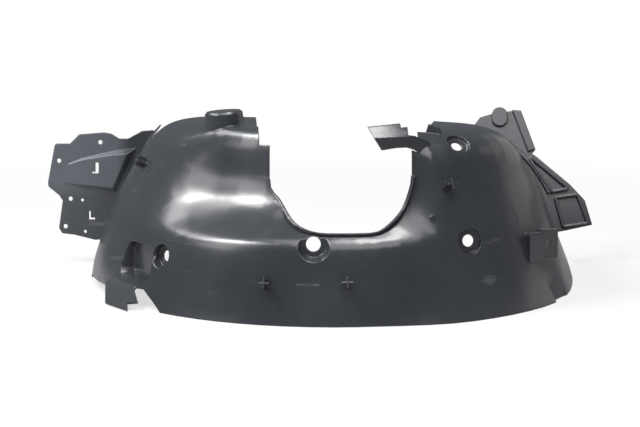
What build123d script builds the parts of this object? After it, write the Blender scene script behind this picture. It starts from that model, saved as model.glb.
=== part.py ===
"""Front left wheel arch liner: one thin moulding that lies on its outer rim, with its body side out and up.

X runs along the car with the rear at plus X, Y runs from the crown towards the ground, Z runs inboard.
"""

import math
import os

from build123d import *

# Whole skin
WALL = 2.5
RIM_RADIUS = 353.0
AXIS_Y = RIM_RADIUS
LEG_OVERRUN = 83.0
SIDE_OPENING_SETBACK = 233.0
SIDE_OPENING_RADIUS = RIM_RADIUS - SIDE_OPENING_SETBACK
BLOCK_FLOOR_Z = -7.0
CUT_REACH = 600.0

# Section shapes of the outer face, each row a setback from the rim radius and a height above the rim
FRONT_SIDE = [
    (-3, -5), (4, 34), (21.5, 84), (28, 101), (37, 120), (58, 160),
    (70, 180), (98, 219), (113, 229), (150, 238), (233, 240),
]
STEPPED = [
    (-5, -5), (6.5, 40), (17.5, 93), (24, 104), (44, 117), (84, 150),
    (94, 170), (106, 223), (114, 234.5), (140, 239), (233, 241),
]
REAR_FRONT = [
    (-20, -5), (4, 40), (17.5, 92), (20, 104), (23, 116), (33, 153),
    (38, 171), (54, 216), (66, 226), (95, 236), (233, 240),
]
REAR_SIDE = [
    (-1, -5), (10, 30), (28.5, 76), (34, 90), (40, 107), (56, 146),
    (67, 160), (103, 192), (122, 201), (150, 210), (233, 216),
]
SECTIONS = (FRONT_SIDE, STEPPED, REAR_FRONT, REAR_SIDE)
FRONT_SIDE_END = -60.0
STEP_START = -34.0
STEP_END = 8.0
REAR_WALL_START = 29.0
REAR_WALL_END = 50.0
REAR_SIDE_START = 82.0
STATION_STEP = 5.0
LEG_STEPS = 3

# Strut cut-out, seen from the crown side
CUTOUT_FRONT_X = -84.0
CUTOUT_FRONT_TOP_X = -95.5
CUTOUT_FRONT_LEAN = 27.0
CUTOUT_REAR_X = 103.0
CUTOUT_LEDGE_Z = 114.0
CUTOUT_FRONT_STEP_Z = 219.0
CUTOUT_REAR_TOP_Z = 216.5
CUTOUT_TOP_Z = 320.0
NOTCH_RUN = 9.0
NOTCH_DROP = 3.0
FRONT_CORNER = [(84, 0), (56, 2), (32, 13), (11, 40), (0, 62)]
REAR_CORNER = [(0, 70), (-4, 50), (-13, 28), (-41, 3), (-66, 0)]
LIP_HEIGHT = 6.0
LIP_STEPS = 24
LIP_RISE = 18.0

# Opening of the inboard side
SIDE_OPENING_Y = 298.0
SIDE_OPENING_FRONT_X = -262.0
SIDE_OPENING_REAR_X = 232.0
SIDE_OPENING_LOW_Z = 130.0
FRONT_LOBE_FLARE = 15.0
NECK_X = 124.0
NECK_FRONT_Y = 90.0
NECK_BACK_Y = 126.0
NECK_FLARE = 26.0

# Folded arm that reaches from the rear lobe over the cut-out
ARM_SETBACK = 63.0
ARM_RADIUS = RIM_RADIUS - ARM_SETBACK
ARM_LOW_Z = 212.0
ARM_FOLD_Z = 235.0
ARM_TOP_Z = 250.0
ARM_TOP_SETBACK = 21.0
ARM_START = 8.0
ARM_END = 26.0
ARM_OUTLINE = [
    (45, 247), (53.5, 234), (63, 218.5), (83, 221), (96, 221), (105, 218), (112, 213.5), (128, 212),
    (128, 226), (107, 235.5), (98.5, 236.5), (97.5, 246), (89, 245.5), (88, 250.5), (45, 247.5),
]

# Clip pads: angle round the axis, height, facing angle, rise of the facing and sizes
CROWN_PAD_ANGLE = -4.4
CROWN_PAD_Z = 103.0
CROWN_PAD_FACING = 0.0
CROWN_PAD_RISE = 8.0
CROWN_PAD_RADIUS = 17.0
CROWN_PAD_DEPTH = 6.5
CROWN_HOLE_RADIUS = 9.5
REAR_PAD_ANGLE = 32.7
REAR_PAD_Z = 99.0
REAR_PAD_FACING = 17.0
REAR_PAD_RISE = 8.0
REAR_PAD_RADIUS = 16.0
REAR_PAD_DEPTH = 9.0
REAR_HOLE_RADIUS = 8.0
UPPER_PAD_ANGLE = 34.8
UPPER_PAD_Z = 223.0
UPPER_PAD_FACING = 22.0
UPPER_PAD_RISE = 46.0
UPPER_PAD_RADIUS = 15.0
UPPER_PAD_DEPTH = 7.0
UPPER_HOLE_RADIUS = 7.5
POCKET_ANGLE = -51.3
POCKET_Z = 60.0
POCKET_FACING = -54.3
POCKET_RISE = 6.0
POCKET_WIDTH = 66.0
POCKET_HEIGHT = 42.0
POCKET_DEPTH = 15.0
POCKET_CORNER = 12.0
POCKET_PAD_ANGLE = -42.6
POCKET_PAD_Z = 73.0
POCKET_PAD_FACING = -44.0
POCKET_PAD_RISE = 8.0
POCKET_PAD_RADIUS = 14.0
POCKET_PAD_DEPTH = 10.0
POCKET_HOLE_RADIUS = 7.3
JOGGLE_ANGLE = 60.0
JOGGLE_Z = 8.0
JOGGLE_RISE = 14.0
JOGGLE_WIDTH = 44.0
JOGGLE_HEIGHT = 52.0
JOGGLE_DEPTH = 4.0
JOGGLE_CORNER = 8.0
PAD_DRAFT = 14.0
CROWN_PAD_DRAFT = 26.0
PAD_REACH = 60.0

# Round cap on the front lobe
CAP_X = -150.0
CAP_Y = 199.0
CAP_RADIUS = 26.0
CAP_TOP_Z = 257.0
CAP_HEIGHT = 44.0
CAP_TILT = 4.0
CAP_DRAFT = 3.0
CAP_EDGE = 3.0

# Crossed stand-off posts
POST_SPAN = 15.0
POST_LENGTH = 15.0
POST_WEB = 2.6
POST_RISE = 24.0
POST_SINK = 1.6
POST_PLACES = [(-14.4, 50.0), (3.0, 53.0), (28.3, 170.0), (-68.0, 178.0)]

# Plain round mark on the rear lobe and moulded line between the lower posts
MARK_ANGLE = 23.8
MARK_Z = 131.0
MARK_RADIUS = 4.0
MARK_RISE = 14.0
MARK_HEIGHT = 1.2
LINE_ANGLE = -5.3
LINE_Z = 51.5
LINE_LENGTH = 30.0
LINE_WIDTH = 3.0
LINE_RISE = 8.0
LINE_HEIGHT = 0.8

# Bracket block on the rear side, and its tab, whose place is measured from the middle of the block
BLOCK_ANGLE = 53.0
BLOCK_Z = 77.0
BLOCK_WIDTH = 26.0
BLOCK_HEIGHT = 40.0
BLOCK_RISE = 11.0
BLOCK_FACING = 33.0
BLOCK_CORNER = 5.0
TAB_X = 39.572
TAB_Y = 24.9579
TAB_WIDTH = 26.0
TAB_HOLE_RADIUS = 4.5
TAB_HOLE_INSET = 15.0

# End plates, each outline point a distance out from the rim and a distance up from the root
PLATE_Y = 430.0
# The legs run past the end plates and are trimmed there
LEG_LENGTH = PLATE_Y - AXIS_Y + LEG_OVERRUN
PLATE_ROOT_Z = 45.0
FRONT_PLATE_TILT = 6.0
REAR_PANEL_TILT = 22.0
PLATE_HOLE_RADIUS = 3.2
FRONT_PLATE_OUTLINE = [
    (-75, 158), (-62, 157), (-41, 145.5), (-28, 145.5), (-16, 153), (-4, 155), (33, 152), (47, 138),
    (70, 138), (81, 80), (81, 73), (64, 59), (59, 51), (65, 9), (60, 1), (42, -1), (10, -9),
]
FRONT_PLATE_HOLES = [(1, 140), (64, 112), (47, 54), (55, 12)]
FIELD_OUTLINE = [(62, 77), (36, 72), (-23, 62), (-57, 134), (-16, 128), (31, 117), (52, 108)]
FIELD_RISE = 11.0
FIELD_DRAFT = 38.0
PLATE_CORNER = 5.0
PLATE_SLOT = [(8, 95), (8, 109), (3, 109), (3, 95), (4, 93), (13, 93), (13, 95)]
PLATE_SLIT = [(19, 22.5), (19, 35), (16.5, 35), (16.5, 25), (10, 25), (10, 22.5)]
PLATE_SMALL_HOLES = [(29, 52), (25, 4)]
PLATE_SMALL_RADIUS = 2.2
REAR_PANEL_OUTLINE = [
    (-125, 184), (-109, 189), (-74, 195), (-62, 194), (-41, 132), (-46, 126), (-39, 121), (11, 77),
    (33, 52), (43, 14), (-3, 4),
]
STRIP_OUTLINE = [(-75, 195), (-62, 194), (-41, 132), (-52, 129)]
STRIP_RISE = 4.0
LUG_X = -95.0
LUG_Y = 184.0
LUG_WIDTH = 24.0
LUG_LENGTH = 30.0
LUG_RISE = 5.0
UPPER_FIELD = [(-48, 117), (4, 71), (-16, 67)]
LOWER_FIELD = [(-10, 54), (20, 58), (34, 17), (0, 12)]
FIELD_FRAME = 4.0
FRAME_RISE = 5.0
RIDGE_LINE = [(-107, 148), (-74, 135), (-53, 115), (-33, 86), (-21, 63)]
RIDGE_WIDTH = 6.0
RIDGE_RISE = 4.0

# Tail tongue on the front rim, and the shallow notch of the rim beside it
TONGUE_ANGLE = -51.0
TONGUE_ROOT_Z = 28.0
TONGUE_LEAN = 50.0
RIM_NOTCH_ANGLE = -47.0
RIM_NOTCH = [(46, -10), (42, 0), (19, 15), (2.5, 25), (-24, 24), (-107, 14), (-215, 9), (-222, -10)]
TONGUE_OUTLINE = [(-56, 5), (-56, -11), (-22, -39), (34, -40), (21, -30), (41, -24), (11, -6.5), (14, 5)]

# Small upright fin at the root of the rear lobe
FIN_Y = 124.0
FIN_OUTLINE = [(120, 228), (124, 238), (127, 247), (142, 242), (146, 228)]


def ease(value, start, end):
    """Smooth share from 0 at start to 1 at end."""
    share = min(1.0, max(0.0, (value - start) / (end - start)))
    return share * share * (3 - 2 * share)


def mix(first, second, share):
    """Section part way between two sections."""
    return [(a[0] + (b[0] - a[0]) * share, a[1] + (b[1] - a[1]) * share) for a, b in zip(first, second)]


def as_radii(rows):
    """Section rows as radius and height."""
    return [(RIM_RADIUS - setback, height) for setback, height in rows]


def section_at(angle):
    """Outer section at an angle round the wheel axis, as radius and height."""
    if angle < STEP_START:
        rows = mix(FRONT_SIDE, STEPPED, ease(angle, FRONT_SIDE_END, STEP_START))
    elif angle < REAR_WALL_START:
        rows = mix(STEPPED, REAR_FRONT, ease(angle, STEP_END, REAR_WALL_START))
    else:
        rows = mix(REAR_FRONT, REAR_SIDE, ease(angle, REAR_WALL_END, REAR_SIDE_START))
    return as_radii(rows)


def skin_radius(angle, height):
    """Radius of the outer face at an angle and height."""
    rows = section_at(angle)
    for (r0, z0), (r1, z1) in zip(rows, rows[1:]):
        if z0 <= height <= z1:
            return r0 + (r1 - r0) * (height - z0) / (z1 - z0)
    return rows[-1][0]


def inset_section(rows, depth):
    """The same section moved inwards by a depth, with an even wall round its bends."""
    runs = [Vector(b[0] - a[0], b[1] - a[1]).normalized() for a, b in zip(rows, rows[1:])]
    moved = []
    for (radius, height), before, after in zip(rows, runs[:1] + runs, runs + runs[-1:]):
        middle = (before + after).normalized()
        reach = depth / middle.dot(before)
        moved.append((radius - reach * middle.Y, height + reach * middle.X))
    return moved


def shared_knots(depth):
    """Spline parameters of the rows at a depth under the outer face, from the mean runs of all sections."""
    sections = [inset_section(as_radii(rows), depth) for rows in SECTIONS]
    ends = [0.0]
    for i in range(len(STEPPED) - 1):
        ends.append(ends[-1] + sum(math.dist(rows[i], rows[i + 1]) for rows in sections))
    return [end / ends[-1] for end in ends]


def section_plane(angle, back):
    """Upright plane from the wheel axis outwards; its x runs outwards and its y runs up."""
    a = math.radians(angle)
    return Plane(
        origin=(0, AXIS_Y + back, 0),
        x_dir=(math.sin(a), -math.cos(a), 0),
        z_dir=(-math.cos(a), -math.sin(a), 0),
    )


def facing_plane(angle, height, facing, rise, depth):
    """Plane under the skin at an angle and height, looking out along a facing angle and rising by rise."""
    a, f, e = math.radians(angle), math.radians(facing), math.radians(rise)
    out = Vector(math.sin(f) * math.cos(e), -math.cos(f) * math.cos(e), math.sin(e))
    radius = skin_radius(angle, height)
    spot = Vector(radius * math.sin(a), AXIS_Y - radius * math.cos(a), height) - out * depth
    return Plane(origin=spot, x_dir=(math.cos(f), math.sin(f), 0), z_dir=out)


def plate_plane(tilt):
    """Plane of an end plate, looking towards the crown; its x runs rearwards and its y runs up."""
    t = math.radians(tilt)
    return Plane(origin=(0, PLATE_Y, PLATE_ROOT_Z), x_dir=(1, 0, 0), z_dir=(0, -math.cos(t), math.sin(t)))


def beside_rim(side, points):
    """Outline points of an end plate, from distances out from the rim to places in the plate's plane."""
    return [(side * (RIM_RADIUS + out), up) for out, up in points]


def leg_edge(side, angle, tilt, low, high):
    """Points in the middle of a leg wall, in the plane of its end plate, from a low to a high height."""
    c = math.cos(math.radians(tilt))
    heights = [low + (high - low) * i / 8 for i in range(9)]
    return [
        (side * (skin_radius(angle, PLATE_ROOT_Z + h * c) - WALL / 2), h)
        for h in heights
    ]


def section_edge(angle, depth):
    """Outer edge of the skin in one section plane, moved inwards by a depth."""
    rows = inset_section(section_at(angle), depth)
    return Edge.make_spline([Vector(*row) for row in rows], parameters=shared_knots(depth))


def block_outline(angle, depth, core):
    """Closed outline between a core radius and the skin's outer edge moved inwards by a depth."""
    outer = section_edge(angle, depth)
    top, foot = outer @ 1, outer @ 0
    add(outer)
    Polyline(top, (core, top.Y), (core, BLOCK_FLOOR_Z), (foot.X, BLOCK_FLOOR_Z), foot)


def cutout_curve(grow):
    """Lower edge of the strut cut-out from its rear side to its front side, moved outwards by grow."""
    front, rear, ledge = CUTOUT_FRONT_X - grow, CUTOUT_REAR_X + grow, CUTOUT_LEDGE_Z - grow
    rear_corner = [(rear + x, ledge + z) for x, z in REAR_CORNER]
    front_corner = [(front + x, ledge + z) for x, z in FRONT_CORNER]
    Spline(*rear_corner, tangents=[(0, -1), (-1, 0)])
    Line(rear_corner[-1], front_corner[0])
    Spline(*front_corner, tangents=[(-1, 0), (0, 1)])
    return rear_corner[0], front_corner[-1]


def skin_spot(x, height):
    """Point of the outer face at an X and height on the crown side, and the way that the lip stands there."""
    angle = 0.0
    for _ in range(6):
        radius = skin_radius(angle, height)
        angle = math.degrees(math.asin(x / radius))
    a, e = math.radians(angle), math.radians(LIP_RISE)
    spot = Vector(radius * math.sin(a), AXIS_Y - radius * math.cos(a), height)
    return spot, Vector(math.sin(a) * math.cos(e), -math.cos(a) * math.cos(e), math.sin(e))


def rounded_face(radius):
    """Face of the outline just drawn, with its outward corners rounded."""
    make_face()
    offset(amount=-radius, mode=Mode.REPLACE)
    offset(amount=radius, mode=Mode.REPLACE)


legs = [LEG_LENGTH * (i + 1) / LEG_STEPS for i in range(LEG_STEPS)]
places = [(-90, back) for back in reversed(legs)]
places += [(-90 + STATION_STEP * i, 0.0) for i in range(round(180 / STATION_STEP) + 1)]
places += [(90, back) for back in legs]

# The thin skin from leg to leg
with BuildPart() as skin:
    for angle, back in places:
        with BuildSketch(section_plane(angle, back)):
            with BuildLine():
                outer, inner = section_edge(angle, 0), section_edge(angle, WALL)
                add(outer)
                add(inner)
                Line(outer @ 0, inner @ 0)
                Line(outer @ 1, inner @ 1)
            make_face()
    loft(ruled=True)

# Solid blocks under the outer face and under the middle of the wall, which trim what is joined to the skin
with BuildPart() as outer_block:
    for angle, back in places:
        with BuildSketch(section_plane(angle, back)):
            with BuildLine():
                block_outline(angle, 0, SIDE_OPENING_RADIUS - 1)
            make_face()
    loft(ruled=True)
with BuildPart() as middle_block:
    for angle, back in places:
        with BuildSketch(section_plane(angle, back)):
            with BuildLine():
                block_outline(angle, WALL / 2, SIDE_OPENING_RADIUS - 12)
            make_face()
    loft(ruled=True)

crown_pad = facing_plane(CROWN_PAD_ANGLE, CROWN_PAD_Z, CROWN_PAD_FACING, CROWN_PAD_RISE, CROWN_PAD_DEPTH)
rear_pad = facing_plane(REAR_PAD_ANGLE, REAR_PAD_Z, REAR_PAD_FACING, REAR_PAD_RISE, REAR_PAD_DEPTH)
upper_pad = facing_plane(UPPER_PAD_ANGLE, UPPER_PAD_Z, UPPER_PAD_FACING, UPPER_PAD_RISE, UPPER_PAD_DEPTH)
pocket_pad = facing_plane(
    POCKET_PAD_ANGLE, POCKET_PAD_Z, POCKET_PAD_FACING, POCKET_PAD_RISE, POCKET_PAD_DEPTH
)
pads = [
    (crown_pad, CROWN_PAD_RADIUS, CROWN_HOLE_RADIUS, CROWN_PAD_DRAFT),
    (rear_pad, REAR_PAD_RADIUS, REAR_HOLE_RADIUS, PAD_DRAFT),
    (upper_pad, UPPER_PAD_RADIUS, UPPER_HOLE_RADIUS, PAD_DRAFT),
    (pocket_pad, POCKET_PAD_RADIUS, POCKET_HOLE_RADIUS, PAD_DRAFT),
]
pocket_floor = facing_plane(POCKET_ANGLE, POCKET_Z, POCKET_FACING, POCKET_RISE, POCKET_DEPTH)
joggle_floor = facing_plane(JOGGLE_ANGLE, JOGGLE_Z, JOGGLE_ANGLE, JOGGLE_RISE, JOGGLE_DEPTH)
pockets = [
    (pocket_floor, POCKET_WIDTH, POCKET_HEIGHT, POCKET_CORNER),
    (joggle_floor, JOGGLE_WIDTH, JOGGLE_HEIGHT, JOGGLE_CORNER),
]

# Hollows of the pads and pockets
with BuildPart() as hollows:
    for plane, radius, hole, draft in pads:
        with BuildSketch(plane):
            Circle(radius)
        extrude(amount=PAD_REACH, taper=-draft)
    for plane, width, height, corner in pockets:
        with BuildSketch(plane):
            RectangleRounded(width, height, corner)
        extrude(amount=PAD_REACH, taper=-PAD_DRAFT)

# Cups that carry the wall round those hollows
with BuildPart() as cups:
    for plane, radius, hole, draft in pads:
        with BuildSketch(plane.offset(-WALL)):
            Circle(radius + WALL)
        extrude(amount=PAD_REACH, taper=-draft)
    for plane, width, height, corner in pockets:
        with BuildSketch(plane.offset(-WALL)):
            RectangleRounded(width + 2 * WALL, height + 2 * WALL, corner + WALL)
        extrude(amount=PAD_REACH, taper=-PAD_DRAFT)
    add(outer_block.part, mode=Mode.INTERSECT)

# Strut cut-out, swept from the crown side through to the back
crown_view = Plane.XZ.offset(60)
notch_x = CUTOUT_REAR_X + NOTCH_RUN
with BuildPart() as cutout:
    with BuildSketch(crown_view):
        with BuildLine():
            rear_end, front_end = cutout_curve(0)
            Polyline(
                front_end,
                (CUTOUT_FRONT_X, CUTOUT_FRONT_STEP_Z),
                (CUTOUT_FRONT_TOP_X, CUTOUT_FRONT_STEP_Z),
                (CUTOUT_FRONT_TOP_X - CUTOUT_FRONT_LEAN, CUTOUT_TOP_Z),
                (notch_x, CUTOUT_TOP_Z),
                (notch_x, CUTOUT_REAR_TOP_Z - NOTCH_DROP),
                (CUTOUT_REAR_X, CUTOUT_REAR_TOP_Z),
                rear_end,
            )
        make_face()
    extrude(amount=-CUT_REACH)

# Lip that stands up round the lower edge of the cut-out
with BuildLine() as cutout_line:
    cutout_curve(0)
cutout_edge = cutout_line.wires()[0]
lip_places = [cutout_edge @ (i / LIP_STEPS) for i in range(LIP_STEPS + 1)]
lip_spots = [skin_spot(place.X, place.Y) for place in lip_places]
with BuildPart() as lip:
    for i, (spot, stand) in enumerate(lip_spots):
        along = lip_spots[min(i + 1, LIP_STEPS)][0] - lip_spots[max(i - 1, 0)][0]
        with BuildSketch(Plane(origin=spot, x_dir=stand, z_dir=along)):
            with Locations(((LIP_HEIGHT - WALL) / 2, -WALL / 2)):
                Rectangle(LIP_HEIGHT + WALL, WALL)
    loft(ruled=True)

# Opening of the inboard side, seen from above
with BuildPart() as side_opening:
    with BuildSketch(Plane.XY.offset(CUTOUT_FRONT_STEP_Z)):
        with BuildLine():
            Polyline(
                (CUTOUT_FRONT_TOP_X, NECK_FRONT_Y),
                (CUTOUT_FRONT_TOP_X - FRONT_LOBE_FLARE, SIDE_OPENING_Y + 1),
                (NECK_X + NECK_FLARE, SIDE_OPENING_Y + 1),
                (NECK_X, NECK_BACK_Y),
                (notch_x, NECK_BACK_Y),
                (notch_x, NECK_FRONT_Y),
                close=True,
            )
        make_face()
    extrude(amount=CUTOUT_TOP_Z - CUTOUT_FRONT_STEP_Z)
    with BuildSketch(Plane.XY.offset(SIDE_OPENING_LOW_Z)):
        with BuildLine():
            Polyline(
                (SIDE_OPENING_FRONT_X, SIDE_OPENING_Y),
                (SIDE_OPENING_FRONT_X, SIDE_OPENING_Y + CUT_REACH),
                (SIDE_OPENING_REAR_X, SIDE_OPENING_Y + CUT_REACH),
                (SIDE_OPENING_REAR_X, SIDE_OPENING_Y),
                close=True,
            )
        make_face()
    extrude(amount=CUTOUT_TOP_Z - SIDE_OPENING_LOW_Z)

# Folded arm over the cut-out, turned round the wheel axis and trimmed to its outline
with BuildPart() as arm:
    with BuildSketch(section_plane(ARM_START, 0)):
        with BuildLine():
            Polyline(
                (ARM_RADIUS, ARM_LOW_Z),
                (ARM_RADIUS, ARM_FOLD_Z),
                (ARM_RADIUS - ARM_TOP_SETBACK, ARM_TOP_Z + 2),
                (ARM_RADIUS - ARM_TOP_SETBACK - WALL, ARM_TOP_Z),
                (ARM_RADIUS - WALL, ARM_FOLD_Z - WALL / 2),
                (ARM_RADIUS - WALL, ARM_LOW_Z),
                close=True,
            )
        make_face()
    revolve(axis=Axis((0, AXIS_Y, 0), (0, 0, 1)), revolution_arc=ARM_END - ARM_START)
    with BuildSketch(crown_view):
        with BuildLine():
            Polyline(*ARM_OUTLINE, close=True)
        make_face()
    extrude(amount=-CUT_REACH, mode=Mode.INTERSECT)

# Small fin at the root of the rear lobe
with BuildPart() as fin:
    with BuildSketch(Plane(origin=(0, FIN_Y, 0), x_dir=(1, 0, 0), z_dir=(0, -1, 0))):
        with BuildLine():
            Polyline(*FIN_OUTLINE, close=True)
        make_face()
    extrude(amount=-WALL)

# What the rim and the leg ends lose
with BuildPart() as trims:
    with BuildSketch(Plane.XY):
        Rectangle(2 * CUT_REACH, 3 * CUT_REACH)
    extrude(amount=-CUT_REACH)
    a = math.radians(RIM_NOTCH_ANGLE)
    rim_plane = Plane(
        origin=(RIM_RADIUS * math.sin(a), AXIS_Y - RIM_RADIUS * math.cos(a), 0),
        x_dir=(math.cos(a), math.sin(a), 0),
        z_dir=(math.sin(a), -math.cos(a), 0),
    )
    with BuildSketch(rim_plane.offset(-170)):
        with BuildLine():
            Polyline(*RIM_NOTCH, close=True)
        make_face()
    extrude(amount=220)
    for side, tilt in ((-1, FRONT_PLATE_TILT), (1, REAR_PANEL_TILT)):
        with BuildSketch(plate_plane(tilt)):
            with Locations((side * 300, 80)):
                Rectangle(590, 600)
        extrude(amount=-250)

# Round cap, closed at the top and open below
t = math.radians(CAP_TILT)
cap_top = Plane(
    origin=(CAP_X, CAP_Y, CAP_TOP_Z),
    x_dir=(math.cos(t), 0, math.sin(t)),
    z_dir=(-math.sin(t), 0, math.cos(t)),
)
cap_side = Plane(origin=cap_top.origin, x_dir=cap_top.x_dir, z_dir=-cap_top.y_dir)
cap_foot = CAP_RADIUS + CAP_HEIGHT * math.tan(math.radians(CAP_DRAFT))
with BuildPart() as cap:
    with BuildSketch(cap_side):
        with BuildLine():
            Polyline(
                (0, 0),
                (CAP_RADIUS - CAP_EDGE, 0),
                (CAP_RADIUS, -CAP_EDGE),
                (cap_foot, -CAP_HEIGHT),
                (0, -CAP_HEIGHT),
                close=True,
            )
        make_face()
    revolve(axis=Axis(cap_top.origin, cap_top.z_dir))
    add(middle_block.part, mode=Mode.SUBTRACT)
with BuildPart() as cap_hollow:
    with BuildSketch(cap_top.offset(-WALL)):
        Circle(CAP_RADIUS - WALL)
    extrude(amount=-CAP_HEIGHT, taper=-CAP_DRAFT)

# Crossed posts
with BuildPart() as posts:
    for angle, height in POST_PLACES:
        root = facing_plane(angle, height, angle, POST_RISE, POST_SINK)
        with BuildSketch(root):
            Rectangle(POST_SPAN, POST_WEB)
            Rectangle(POST_WEB, POST_SPAN)
        extrude(amount=POST_LENGTH + POST_SINK)

# Round mark and moulded line
mark_plane = facing_plane(MARK_ANGLE, MARK_Z, MARK_ANGLE, MARK_RISE, WALL / 2)
line_plane = facing_plane(LINE_ANGLE, LINE_Z, LINE_ANGLE, LINE_RISE, WALL / 2)
with BuildPart() as marks:
    with BuildSketch(mark_plane):
        Circle(MARK_RADIUS)
    extrude(amount=MARK_HEIGHT + WALL / 2)
    with BuildSketch(line_plane):
        Rectangle(LINE_LENGTH, LINE_WIDTH)
    extrude(amount=LINE_HEIGHT + WALL / 2)

# Front splash plate with its field that rises towards the leg
front_plane = plate_plane(FRONT_PLATE_TILT)
field_outline = beside_rim(-1, FIELD_OUTLINE)
field_xs = [x for x, y in field_outline]
field_run = max(field_xs) - min(field_xs)
field_top = Plane(
    origin=front_plane.from_local_coords((min(field_xs), 0, WALL)),
    x_dir=front_plane.x_dir * field_run + front_plane.z_dir * FIELD_RISE,
    z_dir=front_plane.z_dir * field_run - front_plane.x_dir * FIELD_RISE,
)
with BuildPart() as front_plate:
    with BuildSketch(front_plane):
        with BuildLine():
            edge = leg_edge(-1, -90, FRONT_PLATE_TILT, -8, 160)
            Polyline(*edge, *beside_rim(-1, FRONT_PLATE_OUTLINE), close=True)
        rounded_face(PLATE_CORNER)
    extrude(amount=WALL)
with BuildPart() as raised_field:
    with BuildSketch(front_plane):
        with BuildLine():
            Polyline(*field_outline, close=True)
        make_face()
    extrude(amount=FIELD_RISE + 2 * WALL, taper=FIELD_DRAFT)
    split(bisect_by=field_top, keep=Keep.BOTTOM)
with BuildPart() as field_hollow:
    with BuildSketch(front_plane.offset(-WALL)):
        with BuildLine():
            Polyline(*field_outline, close=True)
        make_face()
    extrude(amount=FIELD_RISE + 2 * WALL, taper=FIELD_DRAFT)
    split(bisect_by=field_top.offset(-WALL), keep=Keep.BOTTOM)
with BuildPart() as plate_openings:
    with BuildSketch(front_plane.offset(20)):
        with Locations(*beside_rim(-1, FRONT_PLATE_HOLES)):
            Circle(PLATE_HOLE_RADIUS)
        with Locations(*beside_rim(-1, PLATE_SMALL_HOLES)):
            Circle(PLATE_SMALL_RADIUS)
        for outline in (PLATE_SLOT, PLATE_SLIT):
            with BuildLine():
                Polyline(*beside_rim(-1, outline), close=True)
            make_face()
    extrude(amount=-40)

# Rear ribbed panel
rear_plane = plate_plane(REAR_PANEL_TILT)
with BuildPart() as rear_panel:
    with BuildSketch(rear_plane):
        with BuildLine():
            edge = leg_edge(1, 90, REAR_PANEL_TILT, 2, 172)
            Polyline(*edge, *beside_rim(1, REAR_PANEL_OUTLINE), close=True)
        make_face()
    extrude(amount=WALL)
    with BuildSketch(rear_plane):
        with BuildLine():
            Spline(*beside_rim(1, RIDGE_LINE))
        trace(line_width=RIDGE_WIDTH)
    extrude(amount=WALL + RIDGE_RISE)
    with BuildSketch(rear_plane):
        with BuildLine():
            Polyline(*beside_rim(1, STRIP_OUTLINE), close=True)
        make_face()
    extrude(amount=WALL + STRIP_RISE)
    with BuildSketch(rear_plane):
        with Locations(*beside_rim(1, [(LUG_X, LUG_Y)])):
            SlotOverall(LUG_LENGTH, LUG_WIDTH, rotation=90)
    extrude(amount=WALL + LUG_RISE)
    for field in (UPPER_FIELD, LOWER_FIELD):
        with BuildSketch(rear_plane):
            with BuildLine():
                Polyline(*beside_rim(1, field), close=True)
            make_face()
            offset(amount=FIELD_FRAME)
            with BuildLine():
                Polyline(*beside_rim(1, field), close=True)
            make_face(mode=Mode.SUBTRACT)
        extrude(amount=WALL + FRAME_RISE)

# Tail tongue
a, lean = math.radians(TONGUE_ANGLE), math.radians(TONGUE_LEAN)
root_radius = skin_radius(TONGUE_ANGLE, TONGUE_ROOT_Z)
tongue_plane = Plane(
    origin=(root_radius * math.sin(a), AXIS_Y - root_radius * math.cos(a), TONGUE_ROOT_Z),
    x_dir=(math.cos(a), math.sin(a), 0),
    z_dir=(math.sin(a) * math.cos(lean), -math.cos(a) * math.cos(lean), math.sin(lean)),
)
with BuildPart() as tongue:
    with BuildSketch(tongue_plane):
        with BuildLine():
            Polyline(*TONGUE_OUTLINE, close=True)
        make_face()
    extrude(amount=-WALL)

# Bracket block and tab
block_plane = facing_plane(BLOCK_ANGLE, BLOCK_Z, BLOCK_FACING, 0, WALL)
tab_x = block_plane.origin.X + TAB_X - TAB_WIDTH / 2
tab_y = block_plane.origin.Y + TAB_Y
tab_plane = Plane.XZ.offset(-tab_y).shift_origin((tab_x, tab_y, BLOCK_Z))
with BuildPart() as bracket:
    with BuildSketch(block_plane):
        RectangleRounded(BLOCK_WIDTH, BLOCK_HEIGHT, BLOCK_CORNER)
    extrude(amount=BLOCK_RISE + WALL)
    with BuildSketch(tab_plane):
        Rectangle(TAB_WIDTH, BLOCK_HEIGHT)
        with Locations((TAB_WIDTH / 2 - TAB_HOLE_INSET, 0)):
            Circle(TAB_HOLE_RADIUS, mode=Mode.SUBTRACT)
    extrude(amount=-WALL)

with BuildPart() as moulding:
    add(skin.part)
    add(cups.part)
    add(hollows.part, mode=Mode.SUBTRACT)
    for plane, radius, hole, draft in pads:
        with BuildSketch(plane.offset(3)):
            Circle(hole)
        extrude(amount=-14, mode=Mode.SUBTRACT)
    add(cutout.part, mode=Mode.SUBTRACT)
    add(side_opening.part, mode=Mode.SUBTRACT)
    add(lip.part)
    add(arm.part)
    add(fin.part)
    add(trims.part, mode=Mode.SUBTRACT)
    add(cap.part)
    add(cap_hollow.part, mode=Mode.SUBTRACT)
    add(front_plate.part)
    add(raised_field.part)
    add(field_hollow.part, mode=Mode.SUBTRACT)
    add(plate_openings.part, mode=Mode.SUBTRACT)
    add(rear_panel.part)
    add(tongue.part)
    add(bracket.part)
    add(posts.part)
    add(marks.part)

# The origin is the middle of the underside
box = moulding.part.bounding_box()
with BuildPart() as arch_liner:
    with Locations((-box.center().X, -box.center().Y, -box.min.Z)):
        add(moulding.part)

arch_liner.part.label = "arch_liner"
os.makedirs("parts", exist_ok=True)
export_step(arch_liner.part, "parts/arch_liner.step")
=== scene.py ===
import math

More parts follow.
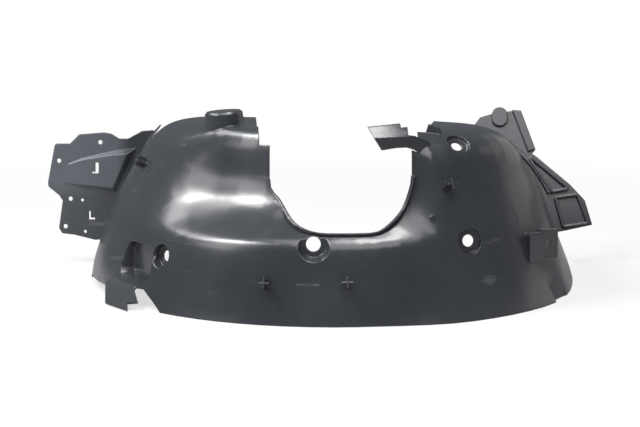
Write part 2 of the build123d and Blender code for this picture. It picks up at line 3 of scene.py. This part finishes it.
import bmesh
import bpy
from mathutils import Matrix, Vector


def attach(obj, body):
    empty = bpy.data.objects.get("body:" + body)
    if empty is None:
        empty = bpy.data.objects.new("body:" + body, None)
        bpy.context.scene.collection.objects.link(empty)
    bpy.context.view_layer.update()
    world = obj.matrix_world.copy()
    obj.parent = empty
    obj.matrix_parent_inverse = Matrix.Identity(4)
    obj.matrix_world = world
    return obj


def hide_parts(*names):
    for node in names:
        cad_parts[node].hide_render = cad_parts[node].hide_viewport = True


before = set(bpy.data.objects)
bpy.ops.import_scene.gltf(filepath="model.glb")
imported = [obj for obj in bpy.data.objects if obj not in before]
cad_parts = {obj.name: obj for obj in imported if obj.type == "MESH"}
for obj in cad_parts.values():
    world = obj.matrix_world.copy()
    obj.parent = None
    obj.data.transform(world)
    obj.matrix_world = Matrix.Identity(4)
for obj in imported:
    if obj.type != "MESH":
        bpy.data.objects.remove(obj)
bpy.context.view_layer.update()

# Mesh, in metres: what counts as one point, and the angle past which a moulded edge stays crisp
WELD_DISTANCE = 0.00003
SHARP_ANGLE = math.radians(34)
NORMAL_WEIGHT = 60

# Plastic: colours, gloss and softened edges
TINT_DARK = (0.032, 0.035, 0.042, 1)
TINT_LIGHT = (0.048, 0.052, 0.060, 1)
# Painted sheen: a lighter blue-grey laid on the front plate in place of its reflection
PAINTED_SHEEN_COLOUR = (0.115, 0.125, 0.144, 1)
WORN_COLOUR = (0.115, 0.118, 0.128, 1)
PLASTIC_IOR = 1.75
CLOUD_ROUGHNESS = (0.19, 0.27)
STREAK_ROUGHNESS = 0.05
WORN_ROUGHNESS = 0.14
PLATE_ROUGHNESS = 0.16
EDGE_RADIUS = 0.0026
EDGE_SAMPLES = 6

# Front plate, where a painted sheen lies, lighter towards its top: the places, in metres, at which the painted
# sheen starts and is full
PLATE_X = (-0.29, -0.31)
PLATE_Y = (0.160, 0.172)
PLATE_Z = (0.100, 0.122)
PLATE_FOOT_SHEEN = 0.3

# Floor and room
FLOOR_SIZE = 12
FLOOR_Z = -0.0004
FLOOR_GREY = (0.5, 0.5, 0.5, 1)
FLOOR_PALE = (0.9, 0.9, 0.9, 1)
SHADOW_SHARE = 0.35
SHADOW_REACH = (0.45, 1.5)
ROOM_COLOUR = (0.9, 0.95, 1.0, 1)
ROOM_STRENGTH = 0.17
WHITE = (1, 1, 1, 1)

# Lamps: name, place, width, depth, power and colour, all turned to one point on the part
LAMP_AIM = (0, -0.08, 0.12)
NEUTRAL = (1, 1, 1)
WARM = (1.0, 0.95, 0.88)
LAMPS = [
    ("overhead", (0.156, -0.813, 1.974), 1.38, 2.3, 23.6, NEUTRAL),
    ("left", (-1.145, -0.452, 1.717), 0.6, 0.5, 18, NEUTRAL),
    ("left rear", (-1.311, -0.034, 1.629), 1.7, 0.44, 12, NEUTRAL),
    ("left front", (-1.469, -0.928, 1.18), 0.62, 0.92, 6.1, NEUTRAL),
    ("right", (1.54, 0.998, 0.804), 1.8, 1.2, 3.8, WARM),
    ("top", (0.38, -0.113, 2.083), 0.6, 0.4, 8, NEUTRAL),
]

# Camera: fitted to the photo, with its shift in pixels of the photo's width
PHOTO_WIDTH = 640
CAMERA_PLACE = (0.019, -2.3371655, 0.4896095)
CAMERA_DOWN = math.radians(9.5)
CAMERA_LENS = 94.17
CAMERA_SENSOR = 36
CAMERA_SHIFT = (-13, 5.417)
CAMERA_FAR = 50


def cleared_tree(owner):
    """Node tree of a material or world, emptied."""
    owner.use_nodes = True
    owner.node_tree.nodes.clear()
    return owner.node_tree


def node(tree, kind, spot, **settings):
    made = tree.nodes.new(kind)
    made.location = spot
    for key, value in settings.items():
        setattr(made, key, value)
    return made


def link(tree, source, target):
    tree.links.new(source, target)


def noise(tree, place, scale, detail, spot, stretch=(1, 1, 1)):
    mapping = node(tree, "ShaderNodeMapping", (spot[0] - 200, spot[1]))
    mapping.inputs["Scale"].default_value = stretch
    link(tree, place.outputs["Object"], mapping.inputs["Vector"])
    made = node(tree, "ShaderNodeTexNoise", spot)
    made.inputs["Scale"].default_value = scale
    made.inputs["Detail"].default_value = detail
    link(tree, mapping.outputs["Vector"], made.inputs["Vector"])
    return made.outputs["Fac"]


def spread(tree, value, given, wanted, spot):
    """The value, moved from one range to another and held inside it."""
    made = node(tree, "ShaderNodeMapRange", spot)
    made.inputs["From Min"].default_value = given[0]
    made.inputs["From Max"].default_value = given[1]
    made.inputs["To Min"].default_value = wanted[0]
    made.inputs["To Max"].default_value = wanted[1]
    link(tree, value, made.inputs["Value"])
    return made.outputs["Result"]


def combine(tree, operation, first, second, spot):
    made = node(tree, "ShaderNodeMath", spot, operation=operation)
    link(tree, first, made.inputs[0])
    link(tree, second, made.inputs[1])
    return made.outputs["Value"]


def blend(tree, share, first, second, spot):
    """Colour between first, a colour or a socket, and the colour second."""
    made = node(tree, "ShaderNodeMix", spot, data_type="RGBA")
    if isinstance(first, tuple):
        made.inputs["A"].default_value = first
    else:
        link(tree, first, made.inputs["A"])
    made.inputs["B"].default_value = second
    link(tree, share, made.inputs["Factor"])
    return made.outputs["Result"]


def bump(tree, height, strength, distance, under, spot):
    made = node(tree, "ShaderNodeBump", spot)
    made.inputs["Strength"].default_value = strength
    made.inputs["Distance"].default_value = distance
    link(tree, height, made.inputs["Height"])
    link(tree, under, made.inputs["Normal"])
    return made.outputs["Normal"]


def split_by_ray(tree, lit, seen, out):
    """Show one shader to the camera and another to all other rays."""
    rays = node(tree, "ShaderNodeLightPath", (0, 300))
    mix = node(tree, "ShaderNodeMixShader", (400, 0))
    link(tree, rays.outputs["Is Camera Ray"], mix.inputs["Fac"])
    link(tree, lit, mix.inputs[1])
    link(tree, seen, mix.inputs[2])
    link(tree, mix.outputs["Shader"], out.inputs["Surface"])


# The moulding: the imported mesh, welded and shaded smooth with crisp moulded edges
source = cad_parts["arch_liner"]
mesh = source.data.copy()
work = bmesh.new()
work.from_mesh(mesh)
bmesh.ops.remove_doubles(work, verts=work.verts, dist=WELD_DISTANCE)
bmesh.ops.dissolve_degenerate(work, edges=work.edges, dist=WELD_DISTANCE)
for face in work.faces:
    face.smooth = True
for edge in work.edges:
    edge.smooth = len(edge.link_faces) == 2 and edge.calc_face_angle(math.pi) < SHARP_ANGLE
work.to_mesh(mesh)
work.free()
mesh.materials.clear()
liner = bpy.data.objects.new("liner", mesh)
bpy.context.scene.collection.objects.link(liner)
weighted = liner.modifiers.new("even normals", "WEIGHTED_NORMAL")
weighted.keep_sharp = True
weighted.weight = NORMAL_WEIGHT
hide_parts("arch_liner")
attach(liner, "root")

# Black moulded plastic: faintly blue, with cloudy sheen, drawn streaks, scuffs, a painted sheen on the front
# plate that is lighter towards its top, and a fine grain
plastic = bpy.data.materials.new("black plastic")
tree = cleared_tree(plastic)
out = node(tree, "ShaderNodeOutputMaterial", (1200, 0))
shader = node(tree, "ShaderNodeBsdfPrincipled", (900, 0))
shader.inputs["IOR"].default_value = PLASTIC_IOR
link(tree, shader.outputs["BSDF"], out.inputs["Surface"])
place = node(tree, "ShaderNodeTexCoord", (-1200, 0))
axes = node(tree, "ShaderNodeSeparateXYZ", (-800, 700))
link(tree, place.outputs["Object"], axes.inputs["Vector"])

cloud = noise(tree, place, 7, 4, (-800, 400))
streak = noise(tree, place, 34, 2, (-800, 150), stretch=(1, 1, 0.09))
scuff = noise(tree, place, 46, 5, (-800, -100), stretch=(0.35, 0.35, 1.3))
wave = noise(tree, place, 11, 1, (-800, -350))
grain = noise(tree, place, 900, 2, (-800, -600))
worn = spread(tree, scuff, (0.66, 0.80), (0, 1), (-500, -100))
drawn = spread(tree, streak, (0.50, 0.74), (0, 1), (-500, 150))
# Painted sheen on the front plate: the plate's place, fuller towards its top, in cloudy patches
forward = spread(tree, axes.outputs["X"], PLATE_X, (0, 1), (-500, 800))
behind = spread(tree, axes.outputs["Y"], PLATE_Y, (0, 1), (-500, 650))
raised = spread(tree, axes.outputs["Z"], PLATE_Z, (PLATE_FOOT_SHEEN, 1), (-200, 850))
plate = combine(tree, "MULTIPLY", forward, behind, (-200, 700))
upper = combine(tree, "MULTIPLY", plate, raised, (-100, 850))
patches = spread(tree, cloud, (0.25, 0.75), (0.55, 1), (-200, 550))
painted_sheen_share = combine(tree, "MULTIPLY", upper, patches, (0, 700))

tint = blend(tree, spread(tree, cloud, (0.3, 0.7), (0, 1), (-500, 400)), TINT_DARK, TINT_LIGHT, (-200, 400))
# Lay the painted sheen of the front plate over the tint
tint = blend(tree, painted_sheen_share, tint, PAINTED_SHEEN_COLOUR, (100, 550))
tint = blend(tree, worn, tint, WORN_COLOUR, (300, 400))
link(tree, tint, shader.inputs["Base Color"])

sheen = spread(tree, cloud, (0.3, 0.7), CLOUD_ROUGHNESS, (-200, 150))
for mask, added, left in [
    (drawn, STREAK_ROUGHNESS, -200), (worn, WORN_ROUGHNESS, 100), (plate, PLATE_ROUGHNESS, 300),
]:
    sheen = combine(tree, "ADD", sheen, spread(tree, mask, (0, 1), (0, added), (left, 0)), (left + 200, 150))
link(tree, sheen, shader.inputs["Roughness"])

soft = node(tree, "ShaderNodeBevel", (-500, -700), samples=EDGE_SAMPLES)
soft.inputs["Radius"].default_value = EDGE_RADIUS
surface = bump(tree, wave, 0.15, 0.003, soft.outputs["Normal"], (-200, -400))
surface = bump(tree, drawn, 0.10, 0.0008, surface, (100, -400))
surface = bump(tree, grain, 0.012, 0.0003, surface, (400, -400))
link(tree, surface, shader.inputs["Normal"])
mesh.materials.append(plastic)

# Floor: plain and pale; white to the camera, as in the cut-out photo, with a soft shadow round the part
bpy.ops.mesh.primitive_plane_add(size=FLOOR_SIZE, location=(0, 0, FLOOR_Z))
floor = bpy.context.object
floor.name = "floor"
paper = bpy.data.materials.new("pale floor")
tree = cleared_tree(paper)
out = node(tree, "ShaderNodeOutputMaterial", (600, 0))
matt = node(tree, "ShaderNodeBsdfDiffuse", (0, 0))
matt.inputs["Color"].default_value = FLOOR_GREY
white = node(tree, "ShaderNodeEmission", (0, -200))
white.inputs["Strength"].default_value = 1.0
pale = node(tree, "ShaderNodeBsdfDiffuse", (0, -350))
pale.inputs["Color"].default_value = FLOOR_PALE
place = node(tree, "ShaderNodeTexCoord", (-600, -500))
away = node(tree, "ShaderNodeVectorMath", (-400, -500), operation="LENGTH")
link(tree, place.outputs["Object"], away.inputs[0])
share = spread(tree, away.outputs["Value"], SHADOW_REACH, (SHADOW_SHARE, 0), (-200, -500))
seen = node(tree, "ShaderNodeMixShader", (200, -200))
link(tree, share, seen.inputs["Fac"])
link(tree, white.outputs["Emission"], seen.inputs[1])
link(tree, pale.outputs["BSDF"], seen.inputs[2])
split_by_ray(tree, matt.outputs["BSDF"], seen.outputs["Shader"], out)
floor.data.materials.append(paper)

# World: white to the camera, a dim grey room for everything else
world = bpy.data.worlds.new("studio")
bpy.context.scene.world = world
tree = cleared_tree(world)
out = node(tree, "ShaderNodeOutputWorld", (600, 0))
room = node(tree, "ShaderNodeBackground", (0, 0))
room.inputs["Color"].default_value = ROOM_COLOUR
room.inputs["Strength"].default_value = ROOM_STRENGTH
white = node(tree, "ShaderNodeBackground", (0, -200))
white.inputs["Color"].default_value = WHITE
white.inputs["Strength"].default_value = 1.0
split_by_ray(tree, room.outputs["Background"], white.outputs["Background"], out)

# Softboxes
for name, spot, wide, deep, power, colour in LAMPS:
    data = bpy.data.lights.new(name, "AREA")
    data.shape = "RECTANGLE"
    data.size = wide
    data.size_y = deep
    data.energy = power
    data.color = colour
    lamp = bpy.data.objects.new(name, data)
    lamp.location = spot
    lamp.rotation_euler = (Vector(LAMP_AIM) - Vector(spot)).to_track_quat("-Z", "Y").to_euler()
    bpy.context.scene.collection.objects.link(lamp)

# Camera, at the photo's angle
view = bpy.data.cameras.new("camera")
view.sensor_width = CAMERA_SENSOR
view.lens = CAMERA_LENS
view.shift_x = CAMERA_SHIFT[0] / PHOTO_WIDTH
view.shift_y = CAMERA_SHIFT[1] / PHOTO_WIDTH
view.clip_end = CAMERA_FAR
camera = bpy.data.objects.new("camera", view)
camera.location = CAMERA_PLACE
camera.rotation_euler = (math.pi / 2 - CAMERA_DOWN, 0, 0)
bpy.context.scene.collection.objects.link(camera)
bpy.context.scene.camera = camera
bpy.context.scene.view_settings.view_transform = "Standard"
